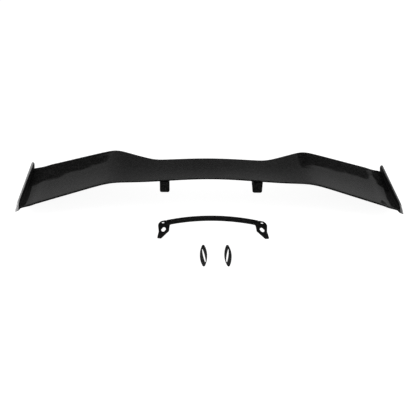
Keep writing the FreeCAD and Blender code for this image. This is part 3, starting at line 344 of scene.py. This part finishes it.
# The end plates by side, as lit and shaded copies of one material: the left plate's rim gets the
# strong painted highlight, the right plate's rim is painted darker as painted shade.
PLATE_MATERIALS = {
    -1: carbon("carbon_gloss_left_plate_painted_lit_rim", 1.0, 0.002, 5.0, rim=0.4),
    1: carbon("carbon_gloss_right_plate_painted_shaded_rim", 1.0, 0.002, 5.0, rim=0.12),
}


def dress(piece, slot):
    """Gives a piece the material of one of the record's slots."""
    piece.data.materials.clear()
    piece.data.materials.append(MATERIALS[slot])


# ---------------------------------------------------------------- sections of the CAD

CUT_MARGIN = 1e-5           # keeps a cutting plane off the corner points of the CAD mesh
CREASE = math.radians(32)   # an edge sharper than this stays crisp


def welded(node):
    """Corner points and triangles of a CAD node, with equal points merged."""
    mesh = NODES[node].data
    points = np.empty(len(mesh.vertices) * 3)
    mesh.vertices.foreach_get("co", points)
    points = points.reshape(-1, 3)
    mesh.calc_loop_triangles()
    triangles = np.array([triangle.vertices[:] for triangle in mesh.loop_triangles])
    _, first, merged = np.unique(np.round(points, 7), axis=0, return_index=True, return_inverse=True)
    return points[first], merged.reshape(-1)[triangles]


def cut_triangles(points, triangles, x):
    """Where the plane at x cuts the triangles' edges, and which cuts are joined by a triangle."""
    beyond = points[:, 0] > x
    corners = beyond[triangles]
    links, places = {}, {}
    for triangle in triangles[corners.any(axis=1) & ~corners.all(axis=1)]:
        cut = []
        for start, end in ((0, 1), (1, 2), (2, 0)):
            edge = tuple(sorted((triangle[start], triangle[end])))
            if beyond[edge[0]] != beyond[edge[1]]:
                low, high = points[edge[0]], points[edge[1]]
                places[edge] = low[1:] + (high[1:] - low[1:]) * (x - low[0]) / (high[0] - low[0])
                cut.append(edge)
        links.setdefault(cut[0], []).append(cut[1])
        links.setdefault(cut[1], []).append(cut[0])
    return links, places


def take_chain(links):
    """Takes one closed chain of joined cuts out of the links."""
    step = next(iter(links))
    chain = [step]
    while True:
        following = [edge for edge in links.pop(step) if edge in links]
        if not following:
            return chain
        step = following[0]
        chain.append(step)


def extent(loop):
    return np.ptp(loop, axis=0).sum()


def section_loop(points, triangles, x):
    """The widest outline, as (y, z) points in order, where the plane at x cuts a node."""
    links, places = cut_triangles(points, triangles, x)
    loops = []
    while links:
        loops.append(np.array([places[edge] for edge in take_chain(links)]))
    return max(loops, key=extent)


def lengths(run):
    """Distance along a run of points at each of them."""
    return np.concatenate(([0.0], np.cumsum(np.linalg.norm(np.diff(run, axis=0), axis=1))))


def resampled(run, places):
    """Points at the given distances along a run."""
    along = lengths(run)
    return np.column_stack([np.interp(places, along, run[:, axis]) for axis in (0, 1)])


# ---------------------------------------------------------------- mesh building

def mesh_piece(name, points, faces, slot, replaced):
    """A smooth-shaded piece with crisp edges, riding on the wing in place of some CAD nodes."""
    mesh = bpy.data.meshes.new(name)
    mesh.from_pydata([tuple(point) for point in points], [], faces)
    mesh.validate()
    mesh.shade_smooth()
    mesh.set_sharp_from_angle(angle=CREASE)
    piece = bpy.data.objects.new(name, mesh)
    bpy.context.scene.collection.objects.link(piece)
    dress(piece, slot)
    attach(piece, "wing")
    if replaced:
        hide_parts(*replaced)
    return piece


def tube_faces(stations, ring):
    """Quads between neighbouring closed rings of points."""
    faces = []
    for station in range(stations - 1):
        low, high = station * ring, (station + 1) * ring
        for index in range(ring):
            following = (index + 1) % ring
            faces.append((low + index, high + index, high + following, low + following))
    return faces


def shell_faces(stations, ring):
    """A tube with caps of quads, for rings that run out along a face and back along another."""
    faces = tube_faces(stations, ring)
    last = (stations - 1) * ring
    for index in range(ring // 2 - 1):
        opposite = ring - 1 - index
        faces.append((index, index + 1, opposite - 1, opposite))
        faces.append((last + index, last + opposite, last + opposite - 1, last + index + 1))
    return faces


# ---------------------------------------------------------------- wing skins

STATION_PITCH = 0.006       # spanwise spacing of the skins' grid
SURFACE_POINTS = 64         # points along each surface
TAIL_FACE_POINTS = 3        # points up the trailing edge's face, below its corner
CORNER_POINTS = 5           # points round the corner at the face's top
NOSE_CROWDING = 1.5         # crowds the points towards the nose
EDGE_RADIUS = 0.0018        # rounding of the trailing edge's corner
SHELL = 0.0015              # visible thickness of a skin
SPAN_SMOOTHING = 40.0
CHORD_SMOOTHING = 6.0
SMOOTHED_CHANGE = 3         # order of the differences that the smoothing holds down
TO_NOSE = np.array((1.0, -0.12))        # directions in (y, z)
TO_TAIL_FOOT = np.array((-1.0, -1.0))
TO_TAIL_TOP = np.array((-1.0, 1.0))


def outer_run(loop, start, end, outward):
    """The part of a loop between its farthest points in two directions, on its outer side."""
    turned = np.roll(loop, -int(np.argmax(loop @ start)), axis=0)
    split = int(np.argmax(turned @ end))
    one = turned[:split + 1]
    other = np.vstack((turned[:1], turned[:split - 1:-1]))
    return one if one[:, 1].mean() * outward > other[:, 1].mean() * outward else other


def towards_nose(start, end):
    """Places along a run from the trailing edge, closer together near the nose."""
    steps = np.linspace(0.0, 1.0, SURFACE_POINTS)
    return end - (end - start) * (1 - steps) ** NOSE_CROWDING


def rounded_corner(run, corner):
    """Points round a corner of a run, replacing the run within the edge radius of it."""
    before, tip, after = resampled(run, [corner - EDGE_RADIUS, corner, corner + EDGE_RADIUS])
    steps = np.linspace(0.0, 1.0, CORNER_POINTS)[:, None]
    return (1 - steps) ** 2 * before + 2 * steps * (1 - steps) * tip + steps ** 2 * after


def upper_outline(loop):
    """Trailing-edge face, its rounded top corner and the upper surface as far as the nose."""
    run = outer_run(loop, TO_TAIL_FOOT, TO_NOSE, 1)
    along = lengths(run)
    corner = along[int(np.argmax(run @ TO_TAIL_TOP))]
    face_places = np.linspace(0.0, corner - EDGE_RADIUS, TAIL_FACE_POINTS, endpoint=False)
    surface_places = towards_nose(corner + EDGE_RADIUS, along[-1])[1:]
    return np.vstack((
        resampled(run, face_places), rounded_corner(run, corner), resampled(run, surface_places)))


def lower_outline(loop):
    """Lower surface from the nose to the foot of the trailing edge."""
    run = outer_run(loop, TO_TAIL_FOOT, TO_NOSE, -1)
    return resampled(run, towards_nose(0.0, lengths(run)[-1]))[::-1]


def smoother(count, weight):
    """Matrix that smooths a row of samples without shortening it."""
    rough = np.diff(np.eye(count), n=SMOOTHED_CHANGE, axis=0)
    return np.linalg.inv(np.eye(count) + weight * rough.T @ rough)


def smooth_grid(grid, first):
    """Irons out the CAD mesh's facets, along the span and, from a first point on, along the chord."""
    span = smoother(grid.shape[0], SPAN_SMOOTHING)
    grid = np.einsum("ij,jkc->ikc", span, grid)
    chord = smoother(grid.shape[1] - first, CHORD_SMOOTHING)
    grid[:, first:] = np.einsum("ij,kjc->kic", chord, grid[:, first:])
    return grid


def grid_normals(grid, outward):
    """Normals of a grid of points, all on its upper side (outward 1) or its lower one (-1)."""
    normals = np.cross(np.gradient(grid, axis=0), np.gradient(grid, axis=1))
    normals /= np.linalg.norm(normals, axis=2, keepdims=True)
    return normals if normals[..., 2].mean() * outward > 0 else -normals


def make_skin(name, node, outline, first, outward):
    """One laminate of the wing as a dense, smooth shell over its CAD node."""
    points, triangles = welded(node)
    low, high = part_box(node)
    count = round((high.x - low.x) / STATION_PITCH)
    grid = []
    for x in np.linspace(low.x + CUT_MARGIN, high.x - CUT_MARGIN, count):
        run = outline(section_loop(points, triangles, x))
        grid.append(np.column_stack((np.full(len(run), x), run)))
    outer = smooth_grid(np.array(grid), first)
    inner = outer - grid_normals(outer, outward) * SHELL
    ring = np.concatenate((outer, inner[:, ::-1]), axis=1)
    faces = shell_faces(*ring.shape[:2])
    mesh_piece(name, ring.reshape(-1, 3), faces, "carbon_gloss", [node])


make_skin("wing_upper_shell", "wing_upper_skin", upper_outline, TAIL_FACE_POINTS + CORNER_POINTS, 1)
make_skin("wing_lower_shell", "wing_lower_skin", lower_outline, 0, -1)


# ---------------------------------------------------------------- CAD nodes

def dress_cad_nodes():
    """Materials and shading for every CAD node, by its slot in the record."""
    for part in frame["record"]["subparts"]:
        node = NODES[part["node"]]
        dress(node, part["material_slot"])
        node.data.shade_smooth()
        node.data.set_sharp_from_angle(angle=CREASE)
        weighted = node.modifiers.new("weighted", "WEIGHTED_NORMAL")
        weighted.keep_sharp = True


dress_cad_nodes()


# ---------------------------------------------------------------- end plates

RIM_PITCH = 0.005           # spacing of the points round a plate
FACE_RINGS = 9              # rings of faces between a plate's rim and its middle line
SPINE_REACH = 0.95          # how close to the middle line the rings come
RIM_ROUND = 0.0028          # rounding of a plate's rim
ROUND_TURNS = (30.0, 60.0, 90.0)        # degrees round the rim at which it has points
SPINE_FRONT = np.array((0.17, -0.062))  # ends of a plate's middle line, in (y, z)
SPINE_TAIL = np.array((-0.11, -0.042))
LEAN = 0.28                 # how far a plate leans outboard for every metre downwards
UPRIGHT_TAIL, UPRIGHT_FRONT = (-0.157, -0.0185), (0.223, -0.037)    # (y, z) where the lean is nil
LEAN_LIMIT, FLARE_LIMIT = 0.0025, 0.0065    # farthest outboard, along a plate and at its tail
FLARE_START, FLARE_END = -0.1, -0.15        # y between which the tail flares outboard
WING_END = -0.146           # y of the wing's rear end; only behind it may the inner face go outboard
WING_END_BLEND = 0.006      # length over which the inner face is freed there


def plate_outline(node):
    """Evenly spaced (y, z) points round a plate, and the inward direction at each."""
    points, triangles = welded(node)
    low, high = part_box(node)
    loop = section_loop(points, triangles, (low.x + high.x) / 2 + CUT_MARGIN)
    closed = np.vstack((loop, loop[:1]))
    total = lengths(closed)[-1]
    count = round(total / RIM_PITCH)
    ring = resampled(closed, np.linspace(0.0, total, count, endpoint=False))
    along = np.roll(ring, -1, axis=0) - np.roll(ring, 1, axis=0)
    inward = np.column_stack((-along[:, 1], along[:, 0]))
    inward /= np.linalg.norm(inward, axis=1)[:, None]
    if (inward * (ring - ring.mean(axis=0))).sum() > 0:
        inward = -inward
    return ring, inward


def nearest_on_spine(ring):
    """The point of a plate's middle line that is nearest to each point of its outline."""
    spine = SPINE_TAIL - SPINE_FRONT
    share = np.clip((ring - SPINE_FRONT) @ spine / (spine @ spine), 0.0, 1.0)
    return SPINE_FRONT + share[:, None] * spine


def lean(flat):
    """Outboard shift of the plate's outer face, and of its inner face, at (y, z) points."""
    share = (flat[:, 0] - UPRIGHT_TAIL[0]) / (UPRIGHT_FRONT[0] - UPRIGHT_TAIL[0])
    level = UPRIGHT_TAIL[1] + share * (UPRIGHT_FRONT[1] - UPRIGHT_TAIL[1])
    flare = np.clip((flat[:, 0] - FLARE_START) / (FLARE_END - FLARE_START), 0.0, 1.0)
    limit = LEAN_LIMIT + (FLARE_LIMIT - LEAN_LIMIT) * flare
    outer = np.minimum((level - flat[:, 1]) * LEAN, limit)
    free = np.clip((WING_END - flat[:, 0]) / WING_END_BLEND, 0.0, 1.0)
    inner = np.where(outer > 0.0, outer * free, outer)
    return outer, inner


def half_rings(ring, inward, spine, face_x, outboard):
    """Rings from a face's middle line to its rim and round half of the rim, as (points, x)."""
    rim = ring + inward * RIM_ROUND
    rings = [(rim + (spine - rim) * step, face_x)
             for step in np.linspace(SPINE_REACH, 0.0, FACE_RINGS)]
    for turn in np.radians(ROUND_TURNS):
        drawn_in = RIM_ROUND * (1 - math.sin(turn))
        depth = RIM_ROUND * (1 - math.cos(turn))
        rings.append((ring + inward * drawn_in, face_x - outboard * depth))
    return rings


def plate_points(node, side, inner_x, outer_x):
    """Rings of points from the middle of the inner face, round the rim, to that of the outer."""
    ring, inward = plate_outline(node)
    spine = nearest_on_spine(ring)
    rings = half_rings(ring, inward, spine, inner_x, -1)
    rings += half_rings(ring, inward, spine, outer_x, 1)[::-1]
    points = []
    for flat, x in rings:
        outer_shift, inner_shift = lean(flat)
        depth = (x - inner_x) / (outer_x - inner_x)
        shifted = x + inner_shift + (outer_shift - inner_shift) * depth
        points.append(np.column_stack((shifted * side, flat)))
    return points


def make_plate(side, node, piece_name):
    """An end plate that leans outboard downwards, with a rounded rim and seats for its screws."""
    low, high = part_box(node)
    inner_x, outer_x = sorted((abs(low.x), abs(high.x)))
    points = plate_points(node, side, inner_x, outer_x)
    count = len(points[0])
    last = (len(points) - 1) * count
    faces = tube_faces(len(points), count)
    faces += [tuple(range(count)), tuple(range(last, last + count))]
    plate = mesh_piece(piece_name, np.concatenate(points), faces, "carbon_gloss", [node])
    close_plate(plate)
    for screw in screw_places(side):
        cut_seat(plate, screw, side, outer_x)
    plate.data.materials[0] = PLATE_MATERIALS[side]


def close_plate(plate):
    """Merges points that fall together and turns all faces outwards."""
    mesh = bmesh.new()
    mesh.from_mesh(plate.data)
    bmesh.ops.remove_doubles(mesh, verts=mesh.verts, dist=CUT_MARGIN)
    bmesh.ops.recalc_face_normals(mesh, faces=mesh.faces)
    mesh.to_mesh(plate.data)
    mesh.free()


# ---------------------------------------------------------------- screw seats

HEAD_START = 0.811          # x beyond which a screw is its head
SCREW_FRONT, SCREW_PITCH = 0.14, 0.072      # y of the front screw, and the row's spacing
SEAT_RADIUS = 0.0049
SEAT_DEPTH = 0.0032         # below the upright plate's outer face
SEAT_SIDES = 32
CUTTER_LENGTH = 0.02


def screw_places(side):
    """The middles of the screws' heads on one side, from the CAD screws."""
    heads = {}
    for vertex in NODES["end_plate_screws"].data.vertices:
        if vertex.co.x * side > HEAD_START:
            row = round((vertex.co.y - SCREW_FRONT) / SCREW_PITCH)
            heads.setdefault(row, []).append(vertex.co)
    return [sum(head, Vector()) / len(head) for head in heads.values()]


def cut_seat(plate, screw, side, outer_x):
    """A counterbore for one screw head."""
    bpy.ops.mesh.primitive_cylinder_add(
        vertices=SEAT_SIDES, radius=SEAT_RADIUS, depth=CUTTER_LENGTH,
        location=(side * (outer_x - SEAT_DEPTH + CUTTER_LENGTH / 2), screw.y, screw.z),
        rotation=(0.0, math.radians(90), 0.0))
    cutter = bpy.context.object
    cut = plate.modifiers.new("seat", "BOOLEAN")
    cut.operation = "DIFFERENCE"
    cut.solver = "EXACT"
    cut.object = cutter
    bpy.context.view_layer.update()
    graph = bpy.context.evaluated_depsgraph_get()
    result = bpy.data.meshes.new_from_object(plate.evaluated_get(graph))
    plate.modifiers.clear()
    plate.data = result
    bpy.data.objects.remove(cutter)


make_plate(-1, "left_end_plate", "left_leaning_plate")
make_plate(1, "right_end_plate", "right_leaning_plate")


# ---------------------------------------------------------------- joint beads

BEAD_RADIUS = 0.0018
BEAD_POINTS = 60            # points along a bead
BEAD_SIDES = 10
BEAD_INBOARD = 0.5          # how far inboard of the wing's tip a bead's middle is, in radii
BEAD_START = TAIL_FACE_POINTS + CORNER_POINTS + 1       # a bead's first point of the upper outline


def make_joint_bead(side, piece_name):
    """The rounded bead of adhesive where the upper skin meets an end plate."""
    points, triangles = welded("wing_upper_skin")
    low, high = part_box("wing_upper_skin")
    tip = high.x if side > 0 else low.x
    run = upper_outline(section_loop(points, triangles, tip - side * CUT_MARGIN))[BEAD_START:]
    run = resampled(run, np.linspace(0.0, lengths(run)[-1], BEAD_POINTS))
    along = np.gradient(run, axis=0)
    along /= np.linalg.norm(along, axis=1)[:, None]
    upward = np.column_stack((-along[:, 1], along[:, 0]))
    rings = []
    for index in range(BEAD_SIDES):
        turn = 2 * math.pi * index / BEAD_SIDES
        x = np.full(BEAD_POINTS, tip - side * BEAD_RADIUS * (BEAD_INBOARD + math.cos(turn)))
        rings.append(np.column_stack((x, run + upward * BEAD_RADIUS * math.sin(turn))))
    ring = np.stack(rings, axis=1)
    faces = shell_faces(*ring.shape[:2])
    mesh_piece(piece_name, ring.reshape(-1, 3), faces, "gloss_black", [])


make_joint_bead(-1, "left_joint_bead")
make_joint_bead(1, "right_joint_bead")


# ---------------------------------------------------------------- camera and floor

CAMERA_PLACE = Vector((-0.1212, -2.498, 1.7595))
CAMERA_LOOK = Vector((0.0405, 0.7964, -0.6034))
CAMERA_ROLL = 0.0371
CAMERA_LENS = 60.6
CAMERA_SENSOR = 36.0
CAMERA_SHIFT = (-0.0075, -0.0008)
FLOOR_SIZE = 30.0
FLOOR_TONE, FLOOR_GLOW = 0.3, 0.92                  # as seen directly
REFLECTED_TONE, REFLECTED_GLOW = 0.03, 0.02         # as seen in a glossy surface


def make_camera():
    """The photo's viewpoint: above and behind the wing, looking about 37 degrees down."""
    data = bpy.data.cameras.new("camera")
    data.sensor_width = CAMERA_SENSOR
    data.lens = CAMERA_LENS
    data.shift_x, data.shift_y = CAMERA_SHIFT
    camera = bpy.data.objects.new("camera", data)
    camera.location = CAMERA_PLACE
    camera.rotation_mode = "QUATERNION"
    level = CAMERA_LOOK.to_track_quat("-Z", "Y")
    camera.rotation_quaternion = level @ Quaternion((0.0, 0.0, 1.0), CAMERA_ROLL)
    bpy.context.scene.collection.objects.link(camera)
    bpy.context.scene.camera = camera


def make_floor():
    """Pale floor. In the wing's clear coat it shows only as a dim grey."""
    half = FLOOR_SIZE / 2
    corners = [(-half, -half), (half, -half), (half, half), (-half, half)]
    mesh = bpy.data.meshes.new("floor")
    mesh.from_pydata([(x, y, GROUND) for x, y in corners], [], [(0, 1, 2, 3)])
    floor = bpy.data.objects.new("floor", mesh)
    bpy.context.scene.collection.objects.link(floor)
    shader = new_material("floor")
    path = shader.node("ShaderNodeLightPath")
    seen = shader.minus(1.0, path.outputs["Is Glossy Ray"])
    material = shader.set(
        Base_Color=shader.grey(shader.remap(seen, 0.0, 1.0, REFLECTED_TONE, FLOOR_TONE)),
        Roughness=1.0,
        Emission_Color=WHITE,
        Emission_Strength=shader.remap(seen, 0.0, 1.0, REFLECTED_GLOW, FLOOR_GLOW),
        Specular_IOR_Level=0.0,
    )
    mesh.materials.append(material)


# ---------------------------------------------------------------- studio

# Glossy surfaces reflect the room below. Angles are in degrees: azimuth from straight ahead,
# positive to the right, and elevation from the horizon.
DOME = 0.4                              # light that reaches matt surfaces from all round
WALL_FOOT, WALL_TOP = 5.0, 30.0         # elevations between which the wall's light changes
WALL_FOOT_LIGHT, WALL_TOP_LIGHT = 0.2, 0.12
WALL_NEAR, WALL_FAR = 3.0, 26.0         # azimuths between which the wall grows brighter
WALL_NEAR_FACTOR, WALL_FAR_FACTOR = 0.75, 1.2
CEILING_START, CEILING_FULL, CEILING_LIGHT = 42.0, 60.0, 0.7
BACK_START, BACK_FULL, BACK_LIGHT = 70.0, 120.0, 0.5
OPENING_LIGHT = 0.03                    # share of the light that is left in the dark openings
OPENING_SIDE_BLUR, OPENING_FOOT_BLUR = 0.6, 0.7
OPENING_END, OPENING_GONE = 60.0, 75.0  # azimuths over which an opening fades out
OPENING_TOP, OPENING_TOP_GONE = 40.0, 48.0
# Side, azimuth where the opening begins, its lower edge there, and how steeply that edge falls.
DARK_OPENINGS = ((-1, 21.5, 23.0, 1.28), (1, 15.0, 23.5, 0.6))
# Name, place, point aimed at, width, height and power in watts.
SOFT_BOXES = (
    ("overhead", (0.0, -0.5, 2.6), (0.0, 0.0, 0.0), 2.4, 1.4, 18.0),
    ("left_box", (-2.6, -0.6, 0.7), (-0.8, 0.0, 0.0), 0.7, 1.6, 25.0),
    ("right_box", (2.6, -0.6, 0.7), (0.8, 0.0, 0.0), 0.7, 1.6, 25.0),
)


def in_degrees(shader, angle):
    return shader.times(angle, 180.0 / math.pi)


def dark_openings(shader, azimuth, elevation):
    """1 inside the dark openings of the wall ahead, 0 outside them."""
    shade = 0.0
    for side, start, height, slope in DARK_OPENINGS:
        out = shader.times(azimuth, side)
        beside = shader.remap(out, start - OPENING_SIDE_BLUR, start + OPENING_SIDE_BLUR, 0.0, 1.0)
        near = shader.remap(out, OPENING_END, OPENING_GONE, 1.0, 0.0)
        foot = shader.minus(height, shader.times(shader.minus(out, start), slope))
        above = shader.remap(
            shader.minus(elevation, foot), -OPENING_FOOT_BLUR, OPENING_FOOT_BLUR, 0.0, 1.0)
        below = shader.remap(elevation, OPENING_TOP, OPENING_TOP_GONE, 1.0, 0.0)
        opening = shader.times(shader.times(beside, near), shader.times(above, below))
        shade = shader.math("MAXIMUM", shade, opening)
    return shade


def reflected_room(shader):
    """Light that a glossy surface sees: wall ahead with openings, bright ceiling, wall behind."""
    x, y, z = shader.parts(shader.node("ShaderNodeTexCoord").outputs["Generated"])
    azimuth = in_degrees(shader, shader.math("ARCTAN2", x, y))
    elevation = in_degrees(shader, shader.math("ARCSINE", z))
    aside = shader.size(azimuth)
    wall = shader.times(
        shader.remap(elevation, WALL_FOOT, WALL_TOP, WALL_FOOT_LIGHT, WALL_TOP_LIGHT),
        shader.remap(aside, WALL_NEAR, WALL_FAR, WALL_NEAR_FACTOR, WALL_FAR_FACTOR))
    ceiling = shader.remap(elevation, CEILING_START, CEILING_FULL, 0.0, CEILING_LIGHT)
    behind = shader.remap(aside, BACK_START, BACK_FULL, 0.0, BACK_LIGHT)
    light = shader.plus(wall, shader.math("MAXIMUM", ceiling, behind))
    shade = dark_openings(shader, azimuth, elevation)
    return shader.times(light, shader.remap(shade, 0.0, 1.0, 1.0, OPENING_LIGHT))


def make_world():
    """A white studio: plain white to the camera, an even dome to matt surfaces, a room to glossy."""
    world = bpy.data.worlds.new("studio")
    bpy.context.scene.world = world
    shader = Shader(world)
    path = shader.node("ShaderNodeLightPath")
    glossy = path.outputs["Is Glossy Ray"]
    reflected = shader.times(glossy, reflected_room(shader))
    around = shader.remap(path.outputs["Is Camera Ray"], 0.0, 1.0, DOME, 1.0)
    strength = shader.plus(reflected, shader.times(shader.minus(1.0, glossy), around))
    background = world.node_tree.nodes["Background"]
    background.inputs["Color"].default_value = WHITE
    shader.feed(background.inputs["Strength"], strength)


def make_lights():
    """Soft boxes overhead and at both sides."""
    for name, place, aim, width, height, power in SOFT_BOXES:
        data = bpy.data.lights.new(name, "AREA")
        data.shape = "RECTANGLE"
        data.size = width
        data.size_y = height
        data.energy = power
        light = bpy.data.objects.new(name, data)
        light.location = Vector(place)
        light.rotation_mode = "QUATERNION"
        light.rotation_quaternion = (Vector(aim) - Vector(place)).to_track_quat("-Z", "Y")
        bpy.context.scene.collection.objects.link(light)


make_camera()
make_floor()
make_world()
make_lights()
bpy.context.scene.view_settings.view_transform = "Standard"
